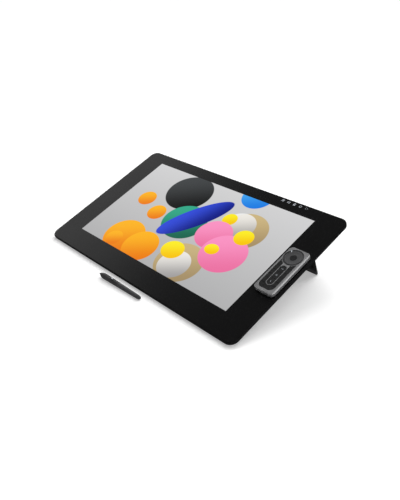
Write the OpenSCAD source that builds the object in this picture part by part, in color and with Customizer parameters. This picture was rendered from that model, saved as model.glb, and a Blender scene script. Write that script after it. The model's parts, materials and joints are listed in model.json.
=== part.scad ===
// A pen display: a large drawing tablet with a screen, its pen and its key remote.
// Lengths are millimetres and angles are degrees.
//
// The row frame has +Z up and +X to the right, with its origin on the table under the front foot.
// on_glass() has X right, Y up the glass from its front edge and Z out of the glass.
// on_underside() is the same for the underside, which slopes away from the glass by the wedge angle:
// there Y runs along the underside and Z goes up into the case.

/* [Case] */
// Width of the case across its front edge
body_w = 672; // [560:1:820]
// Depth of the case along the glass
body_d = 394; // [328:1:480]
// Corner radius of the case seen from above
corner_r = 20; // [12:1:30]
// Thickness of the case at its front edge
edge_t = 9.3; // [9.1:0.1:12]
// Angle between the glass and the underside
wedge = 5; // [4.2:0.1:7]
// Wall of the metal side frame
frame_wall = 3; // [2.4:0.1:4]
// Chamfer between the side frame's lip and its side
rim_chamfer = 1.2; // [0.6:0.1:1.4]
// Wall of the moulded rear cover
cover_wall = 2.2; // [1.6:0.1:3]
// How far the deep rear cover is inset from the case's sides
cover_inset = 24; // [16:1:30]
// How far the rear cover is inset from the front and rear edges
cover_end_inset = 8; // [7:0.5:12]

/* [Display] */
// Black border at each side of the picture
bezel_side = 69; // [64:1:90]
// Black border in front of the picture
bezel_front = 58.4; // [40:0.1:80]
// Black border behind the picture
bezel_rear = 35.2; // [30:0.1:50]
// Thickness of the cover glass
glass_t = 1.2; // [0.8:0.1:1.6]
// Thickness of the display panel
panel_t = 1.6; // [1:0.1:2]
// Thickness of the light guide and its films
guide_t = 2.4; // [1.5:0.1:2.6]

/* [Stand] */
// Lean of the glass with the legs out
tilt = 20; // [16:0.5:24]
// Height of the glass's front edge over the table
rise = 9.5; // [9.5:0.1:14]
// Width of each leg
leg_w = 78; // [50:1:94]
// Thickness of each leg
leg_t = 5; // [4.5:0.5:8]
// Distance from the case's side to the leg's outer edge
leg_inset = 50; // [44:1:70]
// Distance from the case's rear edge to the leg's hinge
leg_from_rear = 81; // [70:1:90]
// Diameter of the hinge shafts
shaft_d = 5; // [4:0.5:6]
// Length of the front foot
front_foot_w = 500; // [200:10:540]

/* [Mounting and cooling] */
// Side of the square of threaded holes for an arm
vesa_pitch = 100; // [75:25:100]
// Diameter of those holes
vesa_hole_d = 4; // [4:1:5]
// Side of each square fan
fan_size = 64; // [50:1:66]
// Height of each fan
fan_t = 10; // [7:0.5:10]
// Blades on each fan
fan_blades = 15; // [7:2:21]
// Width of the cable bay
bay_w = 170; // [130:1:200]
// Depth of the cable bay from the rear of the cover
bay_d = 68; // [50:1:80]

/* [Remote] */
// Width of the remote
remote_w = 53; // [50:0.5:58]
// Length of the remote
remote_d = 131; // [126:0.5:160]
// Thickness of the remote
remote_t = 10; // [9.5:0.5:14]
// Distance from the case's side to the middle of the remote
remote_from_side = 31.5; // [30:0.5:36]
// Distance from the case's front edge to the middle of the remote
remote_from_front = 198.5; // [110:0.5:260]
// Radius of the touch ring's opening
ring_r = 23; // [18:0.5:23.5]
// Radius of the button in the middle of the ring
ring_button_r = 7.5; // [6:0.1:10]
// Width of the middle row of keys
pill_w = 15.6; // [13:0.1:17]
// Width of the web between key openings
key_web = 1.2; // [0.8:0.1:1.6]
// Travel of every key of the remote
key_travel = 0.4; // [0.2:0.1:0.6]

/* [Pen] */
// Length of the pen
pen_len = 151; // [135:1:175]
// Largest diameter of the grip
grip_d = 14; // [13:0.5:17]
// Diameter of the pen at its tail
tail_d = 9.8; // [8.4:0.2:11]
// Where the pen's tip lies along the front edge
pen_x = -75; // [-200:0.5:0]
// Distance from the case's front edge to the pen's tip on the table
pen_from_front = 22.3; // [22:0.1:80]
// Turn of the pen on the table, its tail towards the case
pen_turn = 1.5; // [0:0.1:3]

/* [Fits] */
// Radial running clearance of a turning or sliding piece
run_gap = 0.05; // [0.02:0.01:0.1]
// Gap around a key in its opening
key_gap = 0.2; // [0.15:0.05:0.3]
// Gap around a piece that is set in place
set_gap = 0.1; // [0.05:0.05:0.3]
// Gap beside a leg in its pocket
leg_gap = 0.6; // [0.4:0.1:1]

/* [Hidden] */
$fn = 96;
eps = 0.5;          // how far a cut runs past the face that it opens

// The stack under the glass, each level measured down from the top of the glass
mask_t = 0.2;
tray_t = 0.8;
sensor_t = 0.6;
chassis_t = 1.2;
mask_low = glass_t + mask_t;
panel_low = mask_low + panel_t;
guide_low = panel_low + guide_t;
tray_low = guide_low + tray_t;
sensor_low = tray_low + sensor_t;
stack_t = sensor_low + chassis_t;

// The picture and the glass
screen_w = body_w - 2 * bezel_side;
screen_d = body_d - bezel_front - bezel_rear;
screen_y = bezel_front + screen_d / 2;
lip_drop = 0.4;     // the frame's lip lies this far under the top of the glass
glass_inset = rim_chamfer + set_gap + 0.2;

// The table under the leaning case
foot_y = 14;        // the front foot's middle, measured up the glass
foot_flat = 6;      // width of each flat on the front foot
function table_z(y) = -(rise + y * sin(tilt)) / cos(tilt);
function underside_z(y) = -edge_t - y * tan(wedge);
foot_row_y = foot_y * cos(tilt) - table_z(foot_y) * sin(tilt);

// The rear cover
cover_w = body_w - 2 * cover_inset;
cover_d = body_d - 2 * cover_end_inset;
cover_y = body_d / 2;
cover_r = 24;
cover_rear = body_d - cover_end_inset;
case_depth = edge_t + body_d * tan(wedge) + 20;
function roof(s) = (edge_t - stack_t + s * sin(wedge)) / cos(wedge);

// Legs, measured along the underside
leg_x = body_w / 2 - leg_inset - leg_w / 2;
leg_s = (body_d - leg_from_rear) * cos(wedge);
barrel_r = 5;
leg_h = barrel_r + 0.5;
leg_fold = 90 + wedge;
pocket_h = leg_h + barrel_r + 0.5;
hinge_y = leg_s * cos(wedge) + leg_h * sin(wedge);
hinge_z = -edge_t - leg_s * sin(wedge) + leg_h * cos(wedge);
leg_reach = hinge_z - table_z(hinge_y);
foot_cap = 12;      // how much of a leg's length its rubber foot takes
leg_corner = 3;
tongue_t = 2.4;
tongue_l = 7;

// Feet for standing with the legs folded: as deep as the front foot's second flat
foot_rear_y = foot_y + foot_flat / 2;
foot_h = (underside_z(foot_rear_y) - table_z(foot_rear_y)) * cos(wedge);
rear_foot_s = cover_rear - 18;

// Arm mount
vesa_s = body_d / 2 - 7;
vesa_face = 0.5;    // how far the plate's face lies inside the underside
vesa_boss = vesa_pitch + 14;
vesa_plate = vesa_pitch + 30;
vesa_plate_t = 3;

// Cable bay and its sockets
bay_s = cover_rear - bay_d;
bay_h = 18;
port_board_h = 4;
board_t = 1.6;

// Fans
fan_x = leg_x - leg_w / 2 - 20 - fan_size / 2;
fan_s = bay_s - 60;
fan_h = cover_wall + 0.6;
fan_hub_r = fan_size * 0.2;
fan_wheel_r = fan_size * 0.4;
fan_pin_r = 1.5;

// Boards hang under the chassis
standoff = 3;
main_board = [150, 88];
main_board_y = bay_s - 58;
chip_t = 3;
fin_low = stack_t + standoff + board_t + chip_t + 2 + 2.3;

// Screws through the rear cover
screw_rows = [48, cover_rear - 12];
screw_xs = [-cover_w / 2 + 22, 0, cover_w / 2 - 22];
screw_r = 1.5;
screw_head_r = 3;
screw_head_t = 1.6;
post_r = 4.6;
function seat_h(s) = max(1.2, roof(s) - 9);

// Buttons on the rear edge, and the sockets at the sides
button_z = -(mask_low + sensor_low) / 2;
power_x = body_w / 2 - 96;
power_size = [12, 3.2];
button_proud = 0.3;
switch_x = power_x - 40;
switch_size = [5, 2.4];
switch_travel = 3;
side_port_y = body_d - 49;
usb_size = [13.2, 5.6];
usb_z = -(mask_low + stack_t) / 2;

// Touch marks in the glass
mark_y = body_d - 10;
mark_first = body_w / 2 - 180;
mark_pitch = 17.25;
mark_r = 3.6;
mark_line = 0.9;
mark_deep = 0.3;
mark_proud = 0.05;

// The remote, measured from its underside on the glass
remote_x = body_w / 2 - remote_from_side;
remote_r = 9;
back_t = 0.8;
face_t = 2;
face_low = remote_t - face_t;
side_bevel = 3.4;   // wide bevel along the remote's right side
edge_bevel = 0.8;
face_x = -side_bevel / 2;
ring_y = remote_d / 2 - 26;
ring_groove = 3.6;    // from the ring's opening to its raised disc
key_field_w = 40;
key_field_low = -remote_d / 2 + 7.5;
key_field_r = 12;
key_bottom_h = 11.3;
key_low = face_low - 1.1;
key_top = remote_t - 0.3;
pill_low = key_field_low + key_bottom_h + key_web;
pill_high = ring_y - ring_r - 2 * key_web - 1.6;
column_w = (key_field_w - pill_w) / 2 - key_web;
side_keys = 6;
pill_keys = 3;
board_low = key_low - key_travel - 1.6;

// The pen, measured from its tip
nib_r = 1.1;
cone_from = 2.2;
cone_to = 16;
cone_r = 6.6;
grip_at = 26;
grip_to = 75;
grip_bore_r = 5;
core_r = 3.6;
eraser_at = pen_len - 8;
eraser_r = 2.8;
nib_travel = 0.3;
nib_end = cone_to + 6;
eraser_travel = 0.5;
core_from = nib_end + nib_travel + 0.5;
rocker_at = 50;
rocker_len = 24;
rocker_w = 5;
rocker_rise = 0.8;
rocker_low = grip_bore_r - 1.2;
rocker_swing = 3;
rocker_gap = 0.3;
axle_z = 3;
axle_r = 0.5;
axle_len = 7;
axle_boss_r = 1;
pen_droop = atan((grip_d - tail_d) / 2 / (eraser_at - grip_at));
pen_tip_h = grip_at * sin(pen_droop) + grip_d / 2 * cos(pen_droop);

SIDES = ["left", "right"];
SIDE_KEYS = [for (side = SIDES) for (i = [1:side_keys]) str(side, "_key_", i)];
PILL_KEYS = [for (i = [1:pill_keys]) str("middle_key_", i)];

// ---------------------------------------------------------------- frames

module on_glass() {
    translate([0, -foot_row_y, rise]) rotate([tilt, 0, 0]) children();
}

module below_case() {
    translate([0, 0, -edge_t]) rotate([-wedge, 0, 0]) children();
}

module on_underside() {
    on_glass() below_case() children();
}

module on_remote() {
    on_glass() translate([remote_x, remote_from_front, 0]) children();
}

module on_pen() {
    translate([pen_x, -foot_row_y - pen_from_front, pen_tip_h])
        rotate([0, 0, pen_turn]) rotate([0, pen_droop, 0]) children();
}

// ---------------------------------------------------------------- shared shapes

// Rectangle with round corners, centred
module round_rect(w, d, r) {
    square([w - 2 * r, d], center = true);
    square([w, d - 2 * r], center = true);
    for (x = [-1, 1], y = [-1, 1]) translate([x * (w / 2 - r), y * (d / 2 - r)]) circle(r);
}

// Slab with round corners, standing on z = 0
module slab(w, d, r, t) {
    linear_extrude(t) round_rect(w, d, r);
}

// Slab whose sides lean in by c over its height
module tapered_slab(w, d, r, t, c) {
    intersection() {
        slab(w, d, r, t);
        union() {
            for (x = [-1, 1], y = [-1, 1])
                translate([x * (w / 2 - r), y * (d / 2 - r), 0]) cylinder(h = t, r1 = r, r2 = r - c);
            rotate([90, 0, 90]) linear_extrude(w - 2 * r, center = true)
                polygon([[-d / 2, 0], [d / 2, 0], [d / 2 - c, t], [-d / 2 + c, t]]);
            rotate([90, 0, 0]) linear_extrude(d - 2 * r, center = true)
                polygon([[-w / 2, 0], [w / 2, 0], [w / 2 - c, t], [-w / 2 + c, t]]);
        }
    }
}

// Solid of revolution about +X from a list of [x, radius] points
module turned(points) {
    rotate([0, 90, 0]) rotate([0, 0, 90]) rotate_extrude()
        polygon([for (p = points) [p[1], p[0]]]);
}

// Rod along X, centred
module rod(length, r) {
    rotate([0, 90, 0]) cylinder(h = length, r = r, center = true);
}

// ---------------------------------------------------------------- display

module touch_mark_shapes(deep, high) {
    for (i = [0:4])
        translate([mark_first + i * mark_pitch, mark_y, -deep]) linear_extrude(deep + high)
            touch_mark(i);
}

// Five plain marks: bars, a key block, a page, a ring and a dotted ring
module touch_mark(i) {
    if (i == 0)
        for (y = [-1, 0, 1]) translate([0, y * 2.4]) square([2 * mark_r, mark_line], center = true);
    if (i == 1)
        difference() {
            square([2 * mark_r, 1.4 * mark_r], center = true);
            square([2 * mark_r - 2 * mark_line, 1.4 * mark_r - 2 * mark_line], center = true);
        }
    if (i == 2)
        difference() {
            square([1.4 * mark_r, 2 * mark_r], center = true);
            translate([0, mark_line])
                square([1.4 * mark_r - 2 * mark_line, 2 * mark_r - 4 * mark_line], center = true);
        }
    if (i == 3)
        difference() {
            circle(mark_r);
            circle(mark_r - mark_line);
        }
    if (i == 4)
        for (a = [0:60:300]) rotate(a) translate([mark_r - mark_line / 2, 0]) circle(mark_line * 0.7);
}

module glass_outline(inset) {
    translate([0, body_d / 2])
        round_rect(body_w - 2 * inset, body_d - 2 * inset, corner_r - inset);
}

module cover_glass() {
    color([0.08, 0.09, 0.1]) on_glass() difference() {
        translate([0, 0, -glass_t]) linear_extrude(glass_t) glass_outline(glass_inset);
        touch_mark_shapes(mark_deep, eps);
    }
}

module touch_marks() {
    color([0.9, 0.9, 0.9]) on_glass() touch_mark_shapes(mark_deep, mark_proud);
}

module border_mask() {
    color([0.02, 0.02, 0.02]) on_glass() translate([0, 0, -mask_low]) linear_extrude(mask_t)
        difference() {
            glass_outline(glass_inset + 0.4);
            translate([0, screen_y]) square([screen_w, screen_d], center = true);
        }
}

// Rectangular plate centred under the picture, from one level down to the next
module screen_plate(border, high, low) {
    translate([0, screen_y, -(high + low) / 2])
        cube([screen_w + 2 * border, screen_d + 2 * border, low - high], center = true);
}

module display_panel() {
    color([0.75, 0.77, 0.78]) on_glass() screen_plate(4, mask_low, panel_low);
}

module light_guide() {
    color([0.9, 0.92, 0.95]) on_glass() screen_plate(3, panel_low, guide_low);
}

module backlight_tray() {
    color([0.6, 0.6, 0.62]) on_glass() difference() {
        screen_plate(5, panel_low, tray_low);
        screen_plate(3 + set_gap, panel_low - eps, guide_low);
    }
}

module sensor_board() {
    color([0.1, 0.3, 0.15]) on_glass() difference() {
        screen_plate(7, tray_low, sensor_low);
        for (x = [-1, 1])
            translate([x * (screen_w / 2 + 3), screen_y - screen_d / 2, -tray_low])
                cylinder(h = 4 * sensor_t, r = 2, center = true);
    }
}

// ---------------------------------------------------------------- structure

// The sheet-metal plate that everything is fixed to, with a rib round the display stack
module chassis() {
    inner_w = body_w - 2 * frame_wall - 2 * set_gap;
    inner_d = body_d - 2 * frame_wall - 2 * set_gap;
    color([0.55, 0.56, 0.58]) on_glass() difference() {
        union() {
            translate([0, body_d / 2, -stack_t]) slab(inner_w, inner_d, corner_r - frame_wall, chassis_t);
            difference() {
                screen_plate(12, mask_low, stack_t);
                screen_plate(9, mask_low - eps, stack_t + eps);
            }
        }
        for (x = [-3:3], y = [-1, 1])
            translate([x * screen_w / 8, body_d / 2 + y * body_d / 5, -stack_t - eps])
                cylinder(h = chassis_t + 2 * eps, r = body_d / 20);
        for (side = [-1, 1])
            translate([side * body_w / 2, side_port_y, usb_z])
                cube([44, usb_size[0] + 4, usb_size[1] + 2], center = true);
    }
}

module frame_cuts() {
    for (side = [-1, 1])
        translate([side * body_w / 2, side_port_y, usb_z])
            cube([30, usb_size[0] + 2 * set_gap, usb_size[1] + 2 * set_gap], center = true);
    translate([power_x, body_d, button_z])
        cube([power_size[0] + 2 * key_gap, 4 * frame_wall, power_size[1] + 2 * key_gap], center = true);
    translate([switch_x + switch_travel / 2, body_d, button_z])
        cube([switch_size[0] + switch_travel + 2 * key_gap, 4 * frame_wall,
              switch_size[1] + 2 * key_gap], center = true);
}

// The metal ring round the case: a lip beside the glass, a ledge under it and a flange below
module side_frame() {
    low_chamfer = 1.6;
    color([0.13, 0.13, 0.14]) on_glass() difference() {
        union() {
            translate([0, body_d / 2, -edge_t + low_chamfer])
                slab(body_w, body_d, corner_r, edge_t - low_chamfer - lip_drop - rim_chamfer);
            translate([0, body_d / 2, -lip_drop - rim_chamfer])
                tapered_slab(body_w, body_d, corner_r, rim_chamfer, rim_chamfer);
            translate([0, body_d / 2, -edge_t + low_chamfer]) mirror([0, 0, 1])
                tapered_slab(body_w, body_d, corner_r, low_chamfer, low_chamfer);
        }
        translate([0, 0, -mask_low]) linear_extrude(mask_low + eps) glass_outline(glass_inset - set_gap);
        translate([0, 0, -stack_t]) linear_extrude(stack_t) glass_outline(frame_wall);
        translate([0, cover_y, -edge_t - eps])
            slab(cover_w + 2 * set_gap, cover_d + 2 * set_gap, cover_r + set_gap, edge_t);
        frame_cuts();
    }
}

// Solid under the chassis: the cover's outline down to a level above the underside
module cover_body(wall, floor_h) {
    intersection() {
        translate([0, cover_y, -case_depth])
            slab(cover_w - 2 * wall, cover_d - 2 * wall, cover_r - wall, case_depth - stack_t);
        below_case() translate([-body_w, -body_d, floor_h])
            cube([2 * body_w, 3 * body_d, 2 * case_depth]);
    }
}

// Block on the underside, from s0 to s1 along it and from h0 to h1 into the case
module under_block(x, w, s0, s1, h0, h1) {
    translate([x - w / 2, s0, h0]) cube([w, s1 - s0, h1 - h0]);
}

module leg_pocket(x, grow) {
    under_block(x, leg_w + 2 * leg_gap + 2 * grow, leg_s - leg_reach - 4 - grow,
        leg_s + barrel_r + leg_gap + grow, grow > 0 ? 0 : -eps, pocket_h + grow);
}

module cable_bay(grow) {
    under_block(0, bay_w + 2 * grow, bay_s - grow, cover_rear + 20, grow > 0 ? 0 : -eps, bay_h + grow);
}

module screw_posts() {
    for (s = screw_rows, x = screw_xs)
        if (abs(x) > bay_w / 2 || s < bay_s)
            translate([x, s, 0]) cylinder(h = roof(s) + 4, r = post_r);
}

module screw_holes() {
    for (s = screw_rows, x = screw_xs)
        if (abs(x) > bay_w / 2 || s < bay_s) {
            translate([x, s, -eps]) cylinder(h = seat_h(s) + eps, r = screw_head_r + set_gap);
            translate([x, s, 0]) cylinder(h = roof(s) + 4, r = screw_r);
        }
}

// Vents under the fans, in rings of short slots, and in rows along the rear
module vents() {
    for (side = [-1, 1]) {
        for (i = [-6:6])
            translate([side * fan_x + i * 4, fan_s, 0]) cube([1.6, fan_size * 0.66, 12], center = true);
        for (i = [0:9])
            under_block(side * (fan_x - fan_size / 2 + i * 7), 3, cover_rear - 14, cover_rear - 6,
                -eps, cover_wall + eps);
        for (i = [0:11])
            under_block(side * (cover_w / 2 - 90 + i * 5), 1.6, 84, 104, -eps, cover_wall + eps);
    }
}

module port_cuts() {
    for (p = bay_ports())
        translate([p[0], bay_s, port_board_h + board_t + p[2] / 2])
            cube([p[1] + 2 * set_gap, 4 * cover_wall, p[2] + 2 * set_gap], center = true);
}

module rear_cover() {
    color([0.1, 0.1, 0.11]) on_glass() difference() {
        union() {
            difference() {
                cover_body(0, 0);
                translate([0, 0, eps]) cover_body(cover_wall, cover_wall);
                cover_body(cover_wall, cover_wall);
            }
            intersection() {
                cover_body(0, 0);
                below_case() {
                    for (side = [-1, 1]) leg_pocket(side * leg_x, cover_wall);
                    cable_bay(cover_wall);
                    screw_posts();
                }
            }
        }
        below_case() {
            for (side = [-1, 1]) {
                leg_pocket(side * leg_x, 0);
                translate([side * leg_x, leg_s, leg_h]) rod(leg_w + 30, shaft_d / 2);
            }
            cable_bay(0);
            screw_holes();
            vents();
            port_cuts();
            translate([0, vesa_s, -eps])
                slab(vesa_boss + 2 * set_gap, vesa_boss + 2 * set_gap, 8, cover_wall + 2 * eps);
        }
    }
}

module vesa_plate() {
    color([0.5, 0.51, 0.53]) on_underside() translate([0, vesa_s, 0]) difference() {
        union() {
            translate([0, 0, vesa_face]) slab(vesa_boss, vesa_boss, 8, cover_wall - vesa_face);
            translate([0, 0, cover_wall]) slab(vesa_plate, vesa_plate, 8, vesa_plate_t);
        }
        for (x = [-1, 1], y = [-1, 1])
            translate([x * vesa_pitch / 2, y * vesa_pitch / 2, -eps])
                cylinder(h = 4 * vesa_plate_t, r = vesa_hole_d / 2);
    }
}

module case_screws() {
    color([0.3, 0.3, 0.32]) on_underside() for (s = screw_rows, x = screw_xs)
        if (abs(x) > bay_w / 2 || s < bay_s)
            translate([x, s, seat_h(s)]) difference() {
                union() {
                    translate([0, 0, -screw_head_t]) cylinder(h = screw_head_t, r = screw_head_r);
                    cylinder(h = roof(s) - seat_h(s) - 0.8, r = screw_r);
                }
                translate([0, 0, -screw_head_t - eps]) cylinder(h = 0.9 + eps, r = 1.1, $fn = 6);
            }
}

// ---------------------------------------------------------------- electronics

module circuit_boards() {
    color([0.08, 0.25, 0.12]) {
        on_glass() {
            translate([0, main_board_y, -stack_t - standoff - board_t / 2])
                cube([main_board[0], main_board[1], board_t], center = true);
            for (x = [-1, 1], y = [-1, 1])
                translate([x * (main_board[0] / 2 - 5), main_board_y + y * (main_board[1] / 2 - 5),
                           -stack_t - standoff])
                    cylinder(h = standoff, r = 2.2);
            for (x = [-30, 20])
                translate([x, main_board_y + 10, -stack_t - standoff - board_t - chip_t / 2])
                    cube([24, 24, chip_t], center = true);
            translate([power_x - 20, body_d - frame_wall - 12, -(mask_low + sensor_low) / 2 - 2])
                cube([70, 8, 1.2], center = true);
        }
        on_underside() under_block(0, bay_w - 26, bay_s - 20, bay_s - cover_wall - 0.4,
            port_board_h, port_board_h + board_t);
    }
}

module heat_sink() {
    base_low = stack_t + standoff + board_t + chip_t + 2;
    color([0.7, 0.71, 0.73]) on_glass() translate([0, main_board_y + 10, 0]) {
        translate([0, 0, -base_low + 1]) cube([112, 34, 2], center = true);
        for (i = [0:11])
            translate([-52.25 + i * 9.5, 0, -(base_low + fin_low) / 2])
                cube([1.5, 34, fin_low - base_low], center = true);
    }
}

module fan_housings() {
    color([0.05, 0.05, 0.05]) on_underside() for (side = [-1, 1])
        translate([side * fan_x, fan_s, fan_h]) {
            difference() {
                slab(fan_size, fan_size, 5, fan_t);
                translate([0, 0, 1]) cylinder(h = fan_t, r = fan_wheel_r + 1.2);
                translate([0, 0, -eps]) cylinder(h = 3, r = fan_wheel_r * 0.8);
                translate([0, fan_size / 2, fan_t / 2 + 1]) cube([fan_size * 0.7, fan_size * 0.6, fan_t - 4],
                    center = true);
            }
            difference() {
                union() {
                    cylinder(h = 1, r = fan_pin_r + 2.5);
                    cylinder(h = fan_t - 1.4, r = fan_pin_r);
                    for (a = [30:120:270]) rotate(a) translate([0, -1.2, 0])
                        cube([fan_wheel_r * 0.8 + 0.5, 2.4, 1]);
                }
            }
        }
}

module fan_rotor(side) {
    color([0.12, 0.12, 0.13]) on_underside() translate([side * fan_x, fan_s, fan_h + 1.6])
        difference() {
            union() {
                cylinder(h = fan_t - 2.6, r = fan_hub_r);
                for (i = [0:fan_blades - 1]) rotate(i * 360 / fan_blades)
                    translate([fan_hub_r - 1, -0.6, 0.4]) rotate([0, 0, side * 18])
                        cube([fan_wheel_r - fan_hub_r, 1.2, fan_t - 3.6]);
            }
            translate([0, 0, -eps]) cylinder(h = fan_t, r = fan_pin_r + run_gap);
        }
}

// The sockets in the cable bay: x, width, height, and whether each is round
function bay_ports() = [
    [-58, 9, 9, true],
    [-32, 9.2, 3.6, false],
    [-6, 16.4, 5.2, false],
    [24, 15.2, 5.2, false],
    [54, 9.2, 3.6, false]
];

module socket(w, t, deep, is_round) {
    shell = 0.5;
    if (is_round)
        difference() {
            cube([w, deep, t], center = true);
            translate([0, shell, 0]) rotate([90, 0, 0]) cylinder(h = deep, r = w / 2 - 1.5, center = true);
        }
    else
        difference() {
            cube([w, deep, t], center = true);
            translate([0, shell, 0]) cube([w - 2 * shell, deep, t - 2 * shell], center = true);
        }
    tongue = is_round ? 1.6 : 1;
    translate([0, -1, 0])
        cube([is_round ? 1.6 : w - 2 * shell - 2.2, deep - 4, tongue], center = true);
}

module rear_ports() {
    deep = 14;
    color([0.62, 0.63, 0.65]) on_underside() for (p = bay_ports())
        translate([p[0], bay_s + 0.3 - deep / 2, port_board_h + board_t + p[2] / 2])
            socket(p[1], p[2], deep, p[3]);
}

module side_ports() {
    deep = 15;
    color([0.62, 0.63, 0.65]) on_glass() for (side = [-1, 1])
        translate([side * (body_w / 2 - deep / 2 - 0.2), side_port_y, usb_z])
            rotate([0, 0, -side * 90]) socket(usb_size[0], usb_size[1], deep, false);
}

module speakers() {
    color([0.16, 0.16, 0.17]) on_underside() for (side = [-1, 1])
        translate([side * (cover_w / 2 - 62), 94, cover_wall + 0.2]) difference() {
            translate([-45, -12, 0]) cube([90, 24, 4.6]);
            translate([0, 0, -eps]) linear_extrude(1 + eps) round_rect(70, 16, 7);
        }
}

// ---------------------------------------------------------------- stand

// A leg in its folded place: its hinge along X at the origin, its length along -Y
module leg_outline(length) {
    translate([-leg_w / 2, -length + leg_corner]) square([leg_w, length - leg_corner]);
    translate([-leg_w / 2 + leg_corner, -length]) square([leg_w - 2 * leg_corner, length]);
    for (x = [-1, 1]) translate([x * (leg_w / 2 - leg_corner), -length + leg_corner]) circle(leg_corner);
}

module leg_profile_cut() {
    outer = -barrel_r;
    inner = leg_t - barrel_r;
    rotate([90, 0, 90]) linear_extrude(2 * leg_w, center = true)
        polygon([[-leg_reach + outer * tan(tilt), outer], [-leg_reach + inner * tan(tilt), inner],
                 [0, inner], [0, outer]]);
}

module leg_blank() {
    intersection() {
        translate([0, 0, -barrel_r]) linear_extrude(leg_t) leg_outline(leg_reach + barrel_r * tan(tilt));
        leg_profile_cut();
    }
}

module foot_part() {
    translate([0, -leg_reach + foot_cap - leg_reach, 0]) cube([2 * leg_w, 2 * leg_reach, 60], center = true);
}

module tongue(grow) {
    root = 2;       // how far the tongue runs back into the leg
    translate([0, -leg_reach + foot_cap - (tongue_l - root) / 2, leg_t / 2 - barrel_r])
        cube([leg_w - 2 * leg_corner + 2 * grow, tongue_l + root + 2 * grow, tongue_t + 2 * grow],
            center = true);
}

module place_leg(side) {
    on_underside() translate([side * leg_x, leg_s, leg_h]) rotate([leg_fold, 0, 0]) children();
}

module leg(side) {
    color([0.12, 0.12, 0.13]) place_leg(side) difference() {
        union() {
            difference() {
                leg_blank();
                foot_part();
                for (x = [-1, 1])
                    translate([x * leg_w / 4, -leg_reach / 2, leg_t - barrel_r])
                        cube([leg_w / 2 - 8, leg_reach * 0.5, 3], center = true);
            }
            rod(leg_w, barrel_r);
            tongue(0);
        }
        rod(leg_w + 2, shaft_d / 2 + run_gap);
    }
}

module leg_foot(side) {
    color([0.06, 0.06, 0.06]) place_leg(side) difference() {
        intersection() {
            leg_blank();
            foot_part();
        }
        tongue(set_gap);
    }
}

module hinge_shafts() {
    color([0.6, 0.6, 0.62]) on_underside() for (side = [-1, 1])
        translate([side * leg_x, leg_s, leg_h]) rod(leg_w + 2 * leg_gap + 2 * cover_wall, shaft_d / 2);
}

// A rubber bar with one flat for each stance: legs out and legs folded
module front_foot() {
    flat_front = foot_y - foot_flat / 2;
    flat_rear = foot_rear_y;
    second_rear = foot_rear_y + foot_flat;
    color([0.05, 0.05, 0.05]) on_glass() rotate([90, 0, 90]) linear_extrude(front_foot_w, center = true)
        polygon([[flat_front - 2, underside_z(flat_front - 2)],
                 [flat_front, table_z(flat_front)],
                 [flat_rear, table_z(flat_rear)],
                 [second_rear, table_z(flat_rear) - foot_flat * tan(wedge)],
                 [second_rear + 2, underside_z(second_rear + 2)]]);
}

module rear_feet() {
    color([0.05, 0.05, 0.05]) on_underside() for (side = [-1, 1])
        translate([side * leg_x, rear_foot_s, 0]) mirror([0, 0, 1])
            tapered_slab(leg_w, 14, 6.5, foot_h, 1);
}

// ---------------------------------------------------------------- controls on the rear edge

// A cap that stands through the frame's wall, with a wider flange behind the wall
module edge_button(size, flange) {
    gap = 0.2;
    flange_t = 1.6;
    translate([0, (button_proud - frame_wall - gap - 1) / 2, 0])
        cube([size[0], button_proud + frame_wall + gap + 1, size[1]], center = true);
    translate([0, -frame_wall - gap - flange_t / 2, 0])
        cube([size[0] + 2 * flange, flange_t, size[1] + 1], center = true);
}

module power_button() {
    color([0.3, 0.3, 0.32]) on_glass() translate([power_x, body_d, button_z])
        edge_button(power_size, 1.5);
}

module touch_switch() {
    color([0.3, 0.3, 0.32]) on_glass() translate([switch_x, body_d, button_z])
        edge_button(switch_size, 3 + switch_travel / 2);
}

// ---------------------------------------------------------------- pen

module rocker_slot(grow, low) {
    translate([rocker_at, 0, low]) linear_extrude(grip_d)
        round_rect(rocker_len + 2 * grow, rocker_w + 2 * grow, rocker_w / 2 + grow - 0.01);
}

module rocker_axle(r, length) {
    translate([rocker_at, 0, axle_z]) rotate([90, 0, 0]) cylinder(h = length, r = r, center = true);
}

// Radius of the pen: it swells over the front of the grip, then runs straight to the tail
function pen_radius(x) = x < grip_at
    ? cone_r + (grip_d / 2 - cone_r) * sin(90 * (x - cone_to) / (grip_at - cone_to))
    : grip_d / 2 + (tail_d - grip_d) / 2 * (x - grip_at) / (eraser_at - grip_at);

module pen_barrel() {
    slot_low = rocker_low - rocker_len / 2 * sin(rocker_swing) - rocker_gap;
    color([0.07, 0.07, 0.08]) on_pen() difference() {
        turned([[cone_to, core_r + set_gap], [cone_to, grip_bore_r], [grip_to, grip_bore_r],
                [grip_to, pen_radius(grip_to)], [eraser_at, tail_d / 2], [eraser_at, eraser_r],
                [eraser_at - 5, eraser_r], [eraser_at - 5, core_r + set_gap]]);
        rocker_slot(rocker_gap, slot_low);
        rocker_axle(axle_r + run_gap, axle_len + 2 * run_gap);
        rocker_axle(axle_boss_r + rocker_gap, rocker_w + 2 * rocker_gap);
    }
}

module pen_grip() {
    steps = 8;
    front = [for (i = [0:steps]) grip_at + (cone_to - grip_at) * i / steps];
    color([0.05, 0.05, 0.05]) on_pen() difference() {
        turned(concat([[cone_to, grip_bore_r], [grip_to, grip_bore_r], [grip_to, pen_radius(grip_to)]],
            [for (x = front) [x, pen_radius(x)]]));
        rocker_slot(rocker_gap, 0);
    }
}

module pen_cone() {
    color([0.1, 0.1, 0.11]) on_pen()
        turned([[cone_from, nib_r + run_gap], [cone_from, nib_r + 0.5], [7, 3.7], [12, 5.6],
                [cone_to, cone_r], [cone_to, core_r], [cone_to + 4, core_r - 0.2],
                [cone_to + 4, nib_r + run_gap]]);
}

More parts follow.
